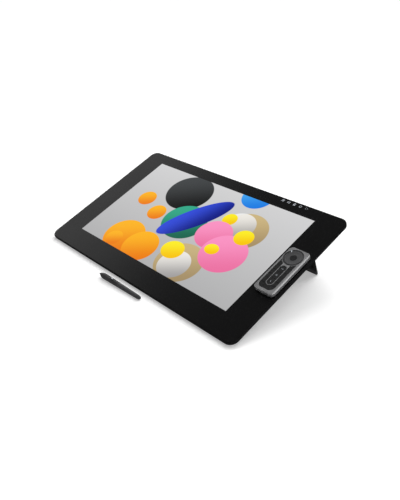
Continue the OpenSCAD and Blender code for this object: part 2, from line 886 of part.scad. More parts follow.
module pen_nib() {
    color([0.03, 0.03, 0.03]) on_pen()
        turned([[0, 0], [0.2, 0.55], [0.7, 0.95], [1.4, nib_r], [nib_end, nib_r], [nib_end, 0]]);
}

// The rocker switch, which turns on an axle in the barrel's wall
module pen_rocker() {
    arch_r = 60;
    top = pen_radius(rocker_at) + rocker_rise;
    color([0.2, 0.2, 0.21]) on_pen() {
        intersection() {
            rocker_slot(0, rocker_low);
            translate([rocker_at, 0, top - arch_r]) rotate([90, 0, 0])
                cylinder(h = 2 * rocker_w, r = arch_r, center = true);
        }
        translate([rocker_at - axle_boss_r, -rocker_w / 2, axle_z])
            cube([2 * axle_boss_r, rocker_w, rocker_low - axle_z + eps]);
        rocker_axle(axle_boss_r, rocker_w);
        rocker_axle(axle_r, axle_len);
    }
}

module pen_eraser() {
    gap = eraser_travel + 0.1;
    color([0.12, 0.12, 0.13]) on_pen()
        turned([[eraser_at - 4, 0], [eraser_at - 4, eraser_r - run_gap], [eraser_at + gap, eraser_r - run_gap],
                [eraser_at + gap, tail_d / 2 - 0.2], [pen_len - 5, tail_d / 2 - 0.4],
                [pen_len - 3, tail_d / 2 - 1], [pen_len - 1.4, tail_d / 2 - 1.9],
                [pen_len - 0.3, tail_d / 2 - 3.2], [pen_len, 0]]);
}

module pen_core() {
    color([0.6, 0.45, 0.25]) on_pen() difference() {
        turned([[core_from, 0], [core_from, core_r], [eraser_at - 6, core_r], [eraser_at - 6, 0]]);
        rocker_slot(1, axle_z - axle_boss_r - rocker_gap);
    }
}

// ---------------------------------------------------------------- remote

module ring_opening(grow) {
    translate([face_x, ring_y]) circle(ring_r + grow);
}

module pill_opening(inset) {
    w = pill_w - 2 * inset;
    translate([face_x, (pill_low + pill_high) / 2])
        round_rect(w, pill_high - pill_low - 2 * inset, w / 2 - 0.01);
}

// U-shaped key field round the middle keys, cut back in an arc under the ring
module key_field(inset) {
    difference() {
        translate([face_x, 0]) union() {
            w = key_field_w - 2 * inset;
            translate([-w / 2, key_field_low + key_field_r])
                square([w, ring_y - key_field_low - key_field_r]);
            translate([-w / 2 + key_field_r - inset, key_field_low + inset])
                square([w - 2 * (key_field_r - inset), 2 * key_field_r]);
            for (x = [-1, 1])
                translate([x * (w / 2 - key_field_r + inset), key_field_low + key_field_r])
                    circle(key_field_r - inset);
        }
        pill_opening(inset > 0 ? -key_web - inset : -key_web);
        translate([face_x - (pill_w / 2 + key_web + inset), pill_high - pill_w])
            square([pill_w + 2 * key_web + 2 * inset, 60]);
        ring_opening(key_web + inset);
    }
}

module remote_outline(inset, low, high) {
    translate([0, 0, low]) slab(remote_w - 2 * inset, remote_d - 2 * inset, remote_r - inset, high - low);
}

module remote_back() {
    color([0.09, 0.09, 0.09]) on_remote() remote_outline(2, 0, back_t);
}

module remote_base() {
    wall = 1.6;
    color([0.3, 0.31, 0.33]) on_remote() difference() {
        union() {
            translate([0, 0, back_t + 1.2]) slab(remote_w, remote_d, remote_r, face_low - back_t - 1.2);
            translate([0, 0, back_t + 1.2]) mirror([0, 0, 1])
                tapered_slab(remote_w, remote_d, remote_r, 1.2, 1.2);
        }
        remote_outline(wall, back_t + 1.2, face_low + eps);
    }
}

module remote_faceplate() {
    color([0.55, 0.56, 0.58]) on_remote() difference() {
        union() {
            translate([0, 0, face_low]) slab(remote_w, remote_d, remote_r, face_t - edge_bevel);
            translate([0, 0, remote_t - edge_bevel])
                tapered_slab(remote_w, remote_d, remote_r, edge_bevel, edge_bevel);
        }
        translate([remote_w / 2 - side_bevel, 0, remote_t])
            rotate([0, atan((face_t - 0.4) / side_bevel), 0])
                translate([-5, -remote_d, 0]) cube([60, 2 * remote_d, 10]);
        translate([0, 0, face_low - eps]) linear_extrude(face_t + 2 * eps) {
            ring_opening(0);
            pill_opening(0);
            key_field(0);
        }
    }
}

// The touch ring: a raised, dished disc with a groove round it
module remote_ring() {
    r = ring_r - 0.4;
    disc_r = ring_r - ring_groove;
    color([0.3, 0.3, 0.32]) on_remote() translate([face_x, ring_y, 0]) rotate_extrude()
        polygon([[ring_button_r + key_gap, key_low - 0.6], [r, key_low - 0.6], [r, remote_t - 1.6],
                 [disc_r + 0.9, remote_t - 1.9], [disc_r + 0.2, remote_t - 0.8], [disc_r - 0.6, remote_t - 0.3],
                 [disc_r - 4, remote_t - 0.8], [ring_button_r + 3, remote_t - 1.1],
                 [ring_button_r + key_gap, remote_t - 0.9]]);
}

module ring_button() {
    color([0.12, 0.12, 0.13]) on_remote() translate([face_x, ring_y, 0]) rotate_extrude()
        polygon([[0, key_low], [ring_button_r, key_low], [ring_button_r, remote_t - 0.9],
                 [ring_button_r - 0.5, remote_t - 0.6], [0, remote_t - 0.9]]);
}

module key_slice(i, count, low, high) {
    pitch = (high - low) / count;
    translate([-60, low + (i - 1) * pitch + key_gap]) square([120, pitch - 2 * key_gap]);
}

module middle_key(i) {
    color([0.1, 0.1, 0.11]) on_remote() translate([0, 0, key_low]) linear_extrude(key_top - key_low)
        intersection() {
            pill_opening(key_gap);
            key_slice(i, pill_keys, pill_low, pill_high);
        }
}

module side_key(side, i) {
    color([0.1, 0.1, 0.11]) on_remote() translate([0, 0, key_low]) linear_extrude(key_top - key_low)
        intersection() {
            key_field(key_gap);
            key_slice(i, side_keys, key_field_low, ring_y - ring_r + 6);
            translate([face_x + side * (30 + pill_w / 2 - 0.6 + key_gap), 0]) square([60, 300], center = true);
        }
}

module bottom_key() {
    color([0.1, 0.1, 0.11]) on_remote() translate([0, 0, key_low]) linear_extrude(key_top - key_low)
        intersection() {
            key_field(key_gap);
            translate([face_x - pill_w / 2 + 0.6 + key_gap, key_field_low])
                square([pill_w - 1.2 - 2 * key_gap, key_bottom_h + 8]);
        }
}

module remote_board() {
    color([0.1, 0.3, 0.15]) on_remote() {
        remote_outline(3.4, board_low, board_low + 1);
        translate([0, 0, back_t + 1.2])
            for (x = [-1, 1], y = [-1, 1])
                translate([x * (remote_w / 2 - 9), y * (remote_d / 2 - 9), 0])
                    cylinder(h = board_low - back_t - 1.2, r = 2);
    }
}

module remote_battery() {
    color([0.65, 0.65, 0.68]) on_remote() translate([0, -8, back_t + 1.2])
        slab(32, 58, 3, board_low - back_t - 1.5);
}

// ---------------------------------------------------------------- every sub-part

cover_glass();
border_mask();
display_panel();
light_guide();
backlight_tray();
sensor_board();
chassis();
side_frame();
rear_cover();
circuit_boards();
heat_sink();
fan_housings();
fan_rotor(-1);  // fan_rotor_left
fan_rotor(1);  // fan_rotor_right
rear_ports();
side_ports();
speakers();
vesa_plate();
hinge_shafts();
leg(-1);  // leg_left
leg(1);  // leg_right
leg_foot(-1);  // leg_left_foot
leg_foot(1);  // leg_right_foot
front_foot();
rear_feet();
case_screws();
power_button();
touch_switch();
touch_marks();
pen_barrel();
pen_grip();
pen_cone();
pen_nib();
pen_rocker();
pen_eraser();
pen_core();
remote_base();
remote_faceplate();
remote_ring();
remote_battery();
remote_board();
remote_back();
ring_button();
bottom_key();
for (i = [1:pill_keys]) middle_key(i);
for (i = [1:side_keys]) side_key(-1, i);
for (i = [1:side_keys]) side_key(1, i);
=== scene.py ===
"""Looks for a pen display with its pen and its key remote, around a fixed CAD frame.

Lengths are metres. Besides the row frame, four frames place things: the glass (X right, Y up the glass,
Z out of it), the remote (the glass's frame moved to the remote's middle), the pen (X from tip to tail)
and the underside (Z along the fans' axes).
"""

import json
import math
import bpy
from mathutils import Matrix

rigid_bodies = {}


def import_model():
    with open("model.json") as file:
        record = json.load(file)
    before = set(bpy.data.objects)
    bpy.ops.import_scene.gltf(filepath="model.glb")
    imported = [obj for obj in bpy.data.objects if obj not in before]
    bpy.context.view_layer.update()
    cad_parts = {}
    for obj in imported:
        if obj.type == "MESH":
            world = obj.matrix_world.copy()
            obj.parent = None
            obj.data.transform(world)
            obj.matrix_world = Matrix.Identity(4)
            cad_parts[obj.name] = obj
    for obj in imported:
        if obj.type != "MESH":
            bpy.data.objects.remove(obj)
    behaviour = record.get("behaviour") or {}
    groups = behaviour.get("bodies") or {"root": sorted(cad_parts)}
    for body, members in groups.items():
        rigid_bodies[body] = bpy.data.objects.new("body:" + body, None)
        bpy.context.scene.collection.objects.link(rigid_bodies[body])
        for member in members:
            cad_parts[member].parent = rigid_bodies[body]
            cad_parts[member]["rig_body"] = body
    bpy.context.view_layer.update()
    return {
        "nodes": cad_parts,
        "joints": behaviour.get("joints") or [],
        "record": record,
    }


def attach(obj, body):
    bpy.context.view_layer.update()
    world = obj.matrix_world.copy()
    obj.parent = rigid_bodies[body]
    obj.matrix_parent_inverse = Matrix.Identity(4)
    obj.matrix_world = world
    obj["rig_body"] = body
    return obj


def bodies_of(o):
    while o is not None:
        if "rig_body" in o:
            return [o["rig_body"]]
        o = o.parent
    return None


bl_info = {
    "name": "Pen display looks",
    "version": (1, 0, 0),
    "blender": (4, 5, 0),
    "location": "3D View > Sidebar > Pen display",
    "description": "Finishes the case, glass, pen and remote of a pen display",
    "category": "Object",
}

import bmesh
import bpy
from mathutils import Matrix, Vector

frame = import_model()
NODES = frame["nodes"]
JOINTS = {joint["name"]: joint for joint in frame["joints"]}
SLOT_OF = {part["node"]: part["material_slot"] for part in frame["record"]["subparts"]}
MM = 0.001


# ---------------------------------------------------------------- frames, read from the CAD


def box_in(node, place):
    """Lowest and highest corner of a CAD node in a local frame."""
    inverse = place.inverted()
    points = [inverse @ vertex.co for vertex in NODES[node].data.vertices]
    low = Vector([min(p[axis] for p in points) for axis in range(3)])
    high = Vector([max(p[axis] for p in points) for axis in range(3)])
    return low, high


def leaning(axis, origin):
    """Frame whose Z is axis, whose X is the row's X, and whose origin is given."""
    z = Vector(axis).normalized()
    x = (Vector((1, 0, 0)) - z * z.x).normalized()
    y = z.cross(x)
    turn = Matrix((x, y, z)).transposed().to_4x4()
    return Matrix.Translation(origin) @ turn


def glass_frame():
    """Frame on top of the cover glass, with Y = 0 at the case's front edge."""
    turned = leaning(JOINTS["remote_lift"]["axis"], (0, 0, 0))
    glass_top = box_in("cover_glass", turned)[1].z
    case_front = box_in("side_frame", turned)[0].y
    return turned @ Matrix.Translation((0, case_front, glass_top))


def remote_frame(glass):
    low, high = box_in("remote_base", glass)
    return glass @ Matrix.Translation(((low.x + high.x) / 2, (low.y + high.y) / 2, 0))


def pen_frame():
    """X runs from the nib's tip to the tail."""
    along = Vector(JOINTS["nib_press"]["axis"]).normalized()
    up = Vector((0, 1, 0)).cross(along) * -1
    turned = Matrix((along, up.cross(along), up)).transposed().to_4x4()
    low, high = box_in("pen_nib", turned)
    return turned @ Matrix.Translation((low.x, (low.y + high.y) / 2, (low.z + high.z) / 2))


GLASS = glass_frame()
REMOTE = remote_frame(GLASS)
PEN = pen_frame()
UNDER = leaning(JOINTS["left_fan_spin"]["axis"], (0, 0, 0))


# ---------------------------------------------------------------- settings


def colour(name, description, value):
    return bpy.props.FloatVectorProperty(
        name=name, description=description, default=value, subtype="COLOR", min=0, max=1
    )


def length(name, description, value):
    return bpy.props.FloatProperty(
        name=name, description=description, default=value, min=0, unit="LENGTH"
    )


class DisplaySettings(bpy.types.PropertyGroup):
    """Sizes and colours of the case and the picture."""

    border: colour("Border", "Print under the glass", (0.0035, 0.0035, 0.0037))
    case_metal: colour("Case metal", "Anodised side frame and legs", (0.009, 0.009, 0.0094))
    cover: colour("Rear cover", "Moulded rear cover", (0.034, 0.034, 0.035))
    rubber: colour("Rubber", "Feet and pads", (0.02, 0.02, 0.02))
    marks: colour("Touch marks", "Backlit marks in the glass", (0.72, 0.76, 0.82))
    edge_round: length("Edge rounding", "Radius on the case's edges", 0.35 * MM)
    etch_rough: bpy.props.FloatProperty(
        name="Etching", description="Roughness of the etched glass", default=0.26, min=0, max=1
    )
    picture_light: bpy.props.FloatProperty(
        name="Picture brightness", description="Emission of the picture", default=1.0, min=0
    )


class RemoteSettings(bpy.types.PropertyGroup):
    """Sizes and colours of the remote."""

    face: colour("Face", "Blasted metal face", (0.34, 0.34, 0.345))
    body: colour("Body", "Moulded lower half", (0.2, 0.2, 0.205))
    key: colour("Keys", "Key caps", (0.02, 0.02, 0.0205))
    ring: colour("Ring", "Touch ring", (0.085, 0.085, 0.087))
    key_round: length("Key rounding", "Radius on the key caps' edges", 0.35 * MM)


class PenSettings(bpy.types.PropertyGroup):
    """Sizes and colours of the pen."""

    barrel: colour("Barrel", "Soft-touch barrel", (0.075, 0.075, 0.077))
    grip: colour("Grip", "Rubber grip", (0.06, 0.06, 0.061))
    rocker: colour("Rocker", "Side switch", (0.06, 0.061, 0.064))


# ---------------------------------------------------------------- node trees


def feed(tree, socket, value):
    """Links a socket, or sets a value."""
    if isinstance(value, bpy.types.NodeSocket):
        tree.links.new(value, socket)
    else:
        socket.default_value = value


def add(tree, kind, inputs=None, **settings):
    """Adds a node with its settings and inputs, which are values or sockets."""
    node = tree.nodes.new(kind)
    for key, value in settings.items():
        setattr(node, key, value)
    for key, value in (inputs or {}).items():
        feed(tree, node.inputs[key], value)
    return node


def calc(tree, operation, a, b=0.0, clamp=False):
    node = add(tree, "ShaderNodeMath", {0: a, 1: b}, operation=operation, use_clamp=clamp)
    return node.outputs[0]


def blend(tree, factor, low, high):
    """Mix of two colours."""
    node = add(tree, "ShaderNodeMix", data_type="RGBA")
    feed(tree, node.inputs[0], factor)
    feed(tree, node.inputs[6], low)
    feed(tree, node.inputs[7], high)
    return node.outputs[2]


def remap(tree, value, from_low, from_high, to_low, to_high, smooth=False):
    kind = "SMOOTHSTEP" if smooth else "LINEAR"
    node = add(
        tree,
        "ShaderNodeMapRange",
        {0: value, 1: from_low, 2: from_high, 3: to_low, 4: to_high},
        interpolation_type=kind,
    )
    return node.outputs[0]


def new_group(name, inputs, outputs):
    """Empty shader group with named sockets, and its input and output nodes."""
    tree = bpy.data.node_groups.new(name, "ShaderNodeTree")
    for label, kind, value in inputs:
        socket = tree.interface.new_socket(
            name=label, in_out="INPUT", socket_type="NodeSocket" + kind
        )
        if value is not None:
            socket.default_value = value
    for label, kind in outputs:
        tree.interface.new_socket(name=label, in_out="OUTPUT", socket_type="NodeSocket" + kind)
    return tree, add(tree, "NodeGroupInput"), add(tree, "NodeGroupOutput")


def grain_group():
    """Fine moulded or blasted texture: pits over a soft noise."""
    tree, given, out = new_group(
        "Fine grain",
        [("Vector", "Vector", None), ("Scale", "Float", 4000.0), ("Coarse", "Float", 0.35)],
        [("Height", "Float")],
    )
    vector, scale, coarse = given.outputs[0], given.outputs[1], given.outputs[2]
    pits = add(tree, "ShaderNodeTexVoronoi", {"Vector": vector, "Scale": scale}).outputs["Distance"]
    soft_scale = calc(tree, "MULTIPLY", scale, 0.4)
    soft = add(
        tree, "ShaderNodeTexNoise", {"Vector": vector, "Scale": soft_scale, "Detail": 3.0}
    ).outputs[0]
    low = calc(tree, "MULTIPLY", soft, coarse)
    feed(tree, out.inputs[0], calc(tree, "ADD", pits, low))
    return tree


def variation_group():
    """Slow change over a surface between two values, as handling and moulding leave it."""
    tree, given, out = new_group(
        "Slow variation",
        [
            ("Vector", "Vector", None),
            ("Scale", "Float", 30.0),
            ("Low", "Float", 0.4),
            ("High", "Float", 0.5),
        ],
        [("Value", "Float"), ("Mask", "Float")],
    )
    noise = add(
        tree, "ShaderNodeTexNoise", {"Vector": given.outputs[0], "Scale": given.outputs[1], "Detail": 4.0}
    ).outputs[0]
    mask = remap(tree, noise, 0.3, 0.7, 0.0, 1.0)
    node = add(tree, "ShaderNodeMapRange", {0: mask, 3: given.outputs[2], 4: given.outputs[3]})
    feed(tree, out.inputs[0], node.outputs[0])
    feed(tree, out.inputs[1], mask)
    return tree


def wear_group():
    """Lighter, smoother rims where a part is handled, broken up by noise."""
    tree, given, out = new_group(
        "Edge wear",
        [("Vector", "Vector", None), ("Amount", "Float", 0.5)],
        [("Mask", "Float")],
    )
    rims = add(tree, "ShaderNodeNewGeometry").outputs["Pointiness"]
    noise = add(
        tree, "ShaderNodeTexNoise", {"Vector": given.outputs[0], "Scale": 600.0, "Detail": 3.0}
    ).outputs[0]
    sharp = remap(tree, rims, 0.52, 0.6, 0.0, 1.0)
    broken = remap(tree, noise, 0.35, 0.65, 0.3, 1.0)
    mask = calc(tree, "MULTIPLY", calc(tree, "MULTIPLY", sharp, broken), given.outputs[1], clamp=True)
    feed(tree, out.inputs[0], mask)
    return tree


def disc_group():
    """One disc of the picture: its mask, and a light that falls across it from one side."""
    names = ["Centre X", "Centre Y", "Half width", "Half height", "Turn", "Softness"]
    tree, given, out = new_group(
        "Picture disc",
        [("Vector", "Vector", None)] + [(name, "Float", 1.0) for name in names],
        [("Mask", "Float"), ("Light", "Float")],
    )
    centre = add(tree, "ShaderNodeCombineXYZ", {0: given.outputs[1], 1: given.outputs[2]}).outputs[0]
    moved = add(
        tree, "ShaderNodeVectorMath", {0: given.outputs[0], 1: centre}, operation="SUBTRACT"
    ).outputs[0]
    turned = add(
        tree, "ShaderNodeVectorRotate", {"Vector": moved, "Angle": given.outputs[5]}, rotation_type="Z_AXIS"
    ).outputs[0]
    size = add(tree, "ShaderNodeCombineXYZ", {0: given.outputs[3], 1: given.outputs[4], 2: 1.0}).outputs[0]
    unit = add(tree, "ShaderNodeVectorMath", {0: turned, 1: size}, operation="DIVIDE").outputs[0]
    flat = add(
        tree, "ShaderNodeVectorMath", {0: unit, 1: (1.0, 1.0, 0.0)}, operation="MULTIPLY"
    ).outputs[0]
    reach = add(tree, "ShaderNodeVectorMath", {0: flat}, operation="LENGTH").outputs["Value"]
    inner = calc(tree, "SUBTRACT", 1.0, given.outputs[6])
    edge = add(
        tree,
        "ShaderNodeMapRange",
        {0: reach, 1: inner, 2: 1.0, 3: 1.0, 4: 0.0},
        interpolation_type="SMOOTHSTEP",
    )
    feed(tree, out.inputs[0], edge.outputs[0])
    toward = add(
        tree, "ShaderNodeVectorMath", {0: flat, 1: (-0.45, 0.75, 0.0)}, operation="DOT_PRODUCT"
    ).outputs["Value"]
    feed(tree, out.inputs[1], remap(tree, toward, -0.9, 0.8, 0.0, 1.0, smooth=True))
    return tree


GROUPS = {}


def use(tree, name, inputs):
    """Places a shared group in a tree, made at its first use."""
    makers = {
        "Fine grain": grain_group,
        "Slow variation": variation_group,
        "Edge wear": wear_group,
        "Picture disc": disc_group,
    }
    if name not in GROUPS:
        GROUPS[name] = makers[name]()
    node = add(tree, "ShaderNodeGroup", node_tree=GROUPS[name])
    for key, value in inputs.items():
        feed(tree, node.inputs[key], value)
    return node


# ---------------------------------------------------------------- materials


def plain_material(name):
    """New material with its Principled shader and object coordinates."""
    material = bpy.data.materials.new(name)
    material.use_nodes = True
    tree = material.node_tree
    shader = tree.nodes["Principled BSDF"]
    where = add(tree, "ShaderNodeTexCoord").outputs["Object"]
    return material, tree, shader, where


def surface(
    name, base, rough, metallic=0.0, grain=3000.0, bump=0.1, tone=0.12, wear=0.0, sheen=0.0, shine=0.5
):
    """Moulded, anodised, blasted or rubber surface.

    rough is the lowest and highest roughness, grain is a scale in 1/m, tone is how much the colour
    changes over the surface, wear lightens the rims and shine is the specular level.
    """
    material, tree, shader, where = plain_material(name)
    slow = use(
        tree, "Slow variation", {"Vector": where, "Scale": 40.0, "Low": rough[0], "High": rough[1]}
    )
    fine = use(tree, "Fine grain", {"Vector": where, "Scale": grain})
    dark = (*(c * (1 - tone) for c in base), 1)
    light = (*(min(1, c * (1 + tone)) for c in base), 1)
    shade = blend(tree, slow.outputs["Mask"], dark, light)
    if wear:
        rim = use(tree, "Edge wear", {"Vector": where, "Amount": wear})
        worn = (*(min(1, c * 1.9 + 0.02) for c in base), 1)
        shade = blend(tree, rim.outputs["Mask"], shade, worn)
    feed(tree, shader.inputs["Base Color"], shade)
    feed(tree, shader.inputs["Roughness"], slow.outputs["Value"])
    shader.inputs["Metallic"].default_value = metallic
    shader.inputs["Sheen Weight"].default_value = sheen
    shader.inputs["Specular IOR Level"].default_value = shine
    relief = add(
        tree,
        "ShaderNodeBump",
        {"Height": fine.outputs[0], "Strength": bump, "Distance": 0.05 * MM},
    )
    feed(tree, shader.inputs["Normal"], relief.outputs[0])
    return material


def board_material():
    """Green board: solder mask with faint tracks and pads."""
    material, tree, shader, where = plain_material("circuit_board")
    tracks = add(
        tree,
        "ShaderNodeTexBrick",
        {
            "Vector": where,
            "Scale": 300.0,
            "Color1": (0.02, 0.12, 0.05, 1),
            "Color2": (0.03, 0.16, 0.07, 1),
            "Mortar": (0.25, 0.2, 0.08, 1),
            "Mortar Size": 0.03,
        },
    )
    slow = use(
        tree, "Slow variation", {"Vector": where, "Scale": 200.0, "Low": 0.3, "High": 0.45}
    )
    feed(tree, shader.inputs["Base Color"], tracks.outputs[0])
    feed(tree, shader.inputs["Roughness"], slow.outputs["Value"])
    return material


# Colours of the picture's discs: the shaded side and the lit side.
AMBER = ((0.86, 0.2, 0.0), (1.0, 0.47, 0.01))
GOLD = ((0.96, 0.56, 0.0), (1.0, 0.87, 0.02))
GREEN = ((0.008, 0.13, 0.075), (0.03, 0.4, 0.25))
BLUE = ((0.002, 0.008, 0.22), (0.03, 0.07, 0.7))
SAND = ((0.36, 0.23, 0.06), (0.62, 0.45, 0.16))
PEARL = ((0.36, 0.37, 0.4), (0.93, 0.93, 0.92))
PINK = ((0.85, 0.17, 0.37), (0.98, 0.3, 0.56))
SKY = ((0.01, 0.2, 0.78), (0.07, 0.45, 0.95))
COAL = ((0.0, 0.0, 0.0), (0.05, 0.055, 0.058))

# The grey ground behind the discs, from the front of the glass to the rear.
FRONT_GREY = (0.45, 0.45, 0.455)
REAR_GREY = (0.66, 0.66, 0.665)
GREY_FROM = 60 * MM
GREY_TO = 360 * MM

# A plain made-up picture of discs, back to front: middle x and y, half width and height, turn, colours,
# cover. Millimetres on the glass, with x from the middle and y from the case's front edge.
DISCS = [
    (-188, 232, 28, 26, 0, AMBER, 1.0),
    (-118, 204, 28, 26, 0, AMBER, 1.0),
    (-90, 300, 70, 64, 0, COAL, 1.0),
    (-20, 212, 66, 58, 0, GREEN, 1.0),
    (-4, 236, 104, 34, 56, BLUE, 1.0),
    (92, 368, 44, 44, 0, SKY, 1.0),
    (140, 258, 62, 58, 0, SAND, 0.85),
    (116, 264, 46, 44, 0, PEARL, 0.8),
    (82, 272, 20, 20, 0, GOLD, 1.0),
    (70, 106, 66, 60, 0, SAND, 0.8),
    (64, 96, 44, 42, 0, PEARL, 0.82),
    (82, 214, 50, 46, 0, PINK, 1.0),
    (146, 178, 62, 58, 0, PINK, 1.0),
    (156, 240, 26, 24, 0, GOLD, 1.0),
    (112, 176, 20, 16, 0, GOLD, 1.0),
    (26, 128, 33, 28, 0, GOLD, 1.0),
    (-132, 100, 62, 56, 0, AMBER, 1.0),
    (-62, 96, 52, 50, 0, AMBER, 1.0),
    (-152, 82, 26, 24, 0, AMBER, 1.0),
]


def paint_disc(tree, where, under, disc):
    """Lays one disc over the picture so far."""
    x, y, half_w, half_h, turn, (dark, light), cover = disc
    group = use(
        tree,
        "Picture disc",
        {
            "Vector": where,
            "Centre X": x * MM,
            "Centre Y": y * MM,
            "Half width": half_w * MM,
            "Half height": half_h * MM,
            "Turn": -math.radians(turn),
            "Softness": 0.03,
        },
    )
    shade = blend(tree, group.outputs["Light"], (*dark, 1), (*light, 1))
    return blend(tree, calc(tree, "MULTIPLY", group.outputs["Mask"], cover), under, shade)


def picture(tree, where):
    """Colour of the lit picture: plain discs on a grey ground."""
    height = add(tree, "ShaderNodeSeparateXYZ", {0: where}).outputs[1]
    rise = remap(tree, height, GREY_FROM, GREY_TO, 0.0, 1.0)
    ground = blend(tree, rise, (*FRONT_GREY, 1), (*REAR_GREY, 1))
    for disc in DISCS:
        ground = paint_disc(tree, where, ground, disc)
    return ground


# Dark border of the panel outside its lit area, and how much of the coat's gloss the lit area keeps.
PANEL_BORDER = 4 * MM
LIT_GLOSS = 0.45


def glass_material(settings):
    """Etched cover glass, seen as one with the print and the lit panel bonded under it."""
    material, tree, shader, where = plain_material("etched_glass")
    inverse = GLASS.inverted()
    on_glass = add(
        tree,
        "ShaderNodeMapping",
        {"Vector": where, "Location": inverse.translation, "Rotation": inverse.to_euler()},
    ).outputs[0]
    low, high = box_in("display_panel", GLASS)
    edge = PANEL_BORDER
    across = add(tree, "ShaderNodeSeparateXYZ", {0: on_glass})
    checks = [
        calc(tree, "GREATER_THAN", across.outputs[0], low.x + edge),
        calc(tree, "LESS_THAN", across.outputs[0], high.x - edge),
        calc(tree, "GREATER_THAN", across.outputs[1], low.y + edge),
        calc(tree, "LESS_THAN", across.outputs[1], high.y - edge),
    ]
    lit = checks[0]
    for check in checks[1:]:
        lit = calc(tree, "MULTIPLY", lit, check)
    shown = blend(tree, lit, (0, 0, 0, 1), picture(tree, on_glass))
    feed(tree, shader.inputs["Emission Color"], shown)
    shader.inputs["Emission Strength"].default_value = settings.picture_light
    smudge = use(tree, "Slow variation", {"Vector": where, "Scale": 9.0, "Low": 0.93, "High": 1.0})
    kept = remap(tree, lit, 0.0, 1.0, 1.0, LIT_GLOSS)
    gloss = calc(tree, "MULTIPLY", smudge.outputs["Value"], kept)
    feed(tree, shader.inputs["Coat Weight"], gloss)
    shader.inputs["Coat Roughness"].default_value = settings.etch_rough
    shader.inputs["Coat IOR"].default_value = 1.5
    shader.inputs["Specular IOR Level"].default_value = 0.0
    shader.inputs["Roughness"].default_value = 0.6
    under = (*settings.border, 1)
    dusty = (*(c * 1.2 for c in settings.border), 1)
    feed(tree, shader.inputs["Base Color"], blend(tree, smudge.outputs["Mask"], under, dusty))
    etch = use(tree, "Fine grain", {"Vector": where, "Scale": 9000.0})
    relief = add(
        tree,
        "ShaderNodeBump",
        {"Height": etch.outputs[0], "Strength": 0.03, "Distance": 0.01 * MM},
    )
    feed(tree, shader.inputs["Normal"], relief.outputs[0])
    return material


def glowing(name, base, strength):
    """Backlit mark, a little uneven in its light."""
    material, tree, shader, where = plain_material(name)
    slow = use(
        tree, "Slow variation", {"Vector": where, "Scale": 900.0, "Low": 0.4, "High": 0.5}
    )
    tone = blend(tree, slow.outputs["Mask"], (*(c * 0.85 for c in base), 1), (*base, 1))
    feed(tree, shader.inputs["Base Color"], tone)
    feed(tree, shader.inputs["Emission Color"], tone)
    shader.inputs["Emission Strength"].default_value = strength
    feed(tree, shader.inputs["Roughness"], slow.outputs["Value"])
    return material


MATERIALS = {}


def plain_finishes():
    """Colour, roughness range and other values of every finish that surface() makes."""
    scene = bpy.context.scene
    case = scene.case_looks
    remote = scene.remote_looks
    pen = scene.pen_looks
    sheet = {"metallic": 1.0, "grain": 1500}
    return {
        "black_print": (case.border, (0.4, 0.5), {}),
        "picture_panel": ((0.6, 0.62, 0.64), (0.3, 0.4), {"tone": 0.03}),
        "clear_acrylic": ((0.75, 0.78, 0.8), (0.1, 0.2), {"tone": 0.03}),
        "tray_sheet": ((0.55, 0.56, 0.57), (0.3, 0.45), sheet),
        "chassis_sheet": ((0.45, 0.46, 0.47), (0.35, 0.5), sheet),
        "frame_metal": (case.case_metal, (0.4, 0.5), {"bump": 0.12, "wear": 0.3, "shine": 0.22}),
        "leg_metal": (case.case_metal, (0.45, 0.55), {"bump": 0.15, "wear": 0.3, "shine": 0.25}),
        "cover_plastic": (
            case.cover,
            (0.5, 0.62),
            {"grain": 1400, "bump": 0.35, "wear": 0.2, "shine": 0.35},
        ),
        "plate_steel": ((0.2, 0.2, 0.205), (0.35, 0.5), {"metallic": 0.7, "wear": 0.6}),
        "rubber": (case.rubber, (0.7, 0.85), {"grain": 1800, "bump": 0.3, "sheen": 0.15}),
        "fan_plastic": ((0.012, 0.012, 0.013), (0.4, 0.5), {}),
        "socket_metal": ((0.5, 0.5, 0.51), (0.2, 0.35), {"metallic": 1.0, "wear": 0.3}),
        "button_plastic": (pen.rocker, (0.35, 0.45), {"wear": 0.3}),
        "pen_plastic": (pen.barrel, (0.45, 0.55), {"bump": 0.08, "shine": 0.35}),
        "pen_rubber": (pen.grip, (0.55, 0.68), {"grain": 2600, "bump": 0.25, "shine": 0.3}),
        "coil_copper": ((0.5, 0.26, 0.12), (0.3, 0.4), {"metallic": 1.0, "grain": 5000}),
        "remote_plastic": (remote.body, (0.4, 0.5), {"metallic": 0.2, "wear": 0.4}),
        "remote_face": (
            remote.face,
            (0.3, 0.38),
            {"metallic": 0.35, "grain": 6000, "bump": 0.1, "wear": 0.5},
        ),
        "ring_plastic": (remote.ring, (0.36, 0.46), {"grain": 6000, "bump": 0.05, "shine": 0.4}),
        "key_plastic": (remote.key, (0.4, 0.5), {"grain": 5000, "wear": 0.25, "shine": 0.35}),
        "battery_foil": ((0.6, 0.6, 0.62), (0.2, 0.35), {"metallic": 1.0}),
    }


def make_finish(name):
    case = bpy.context.scene.case_looks
    if name == "etched_glass":
        return glass_material(case)
    if name == "board_green":
        return board_material()
    if name == "mark_white":
        return glowing(name, case.marks, 0.12)
    if name == "lit_tick":
        return glowing(name, case.marks, 1.0)
    base, rough, values = plain_finishes()[name]
    return surface(name, base, rough, **values)


def finish_of(name):
    """The material of a slot or finish, made at its first use."""
    if name not in MATERIALS:
        MATERIALS[name] = make_finish(name)
    return MATERIALS[name]


# ---------------------------------------------------------------- shapes


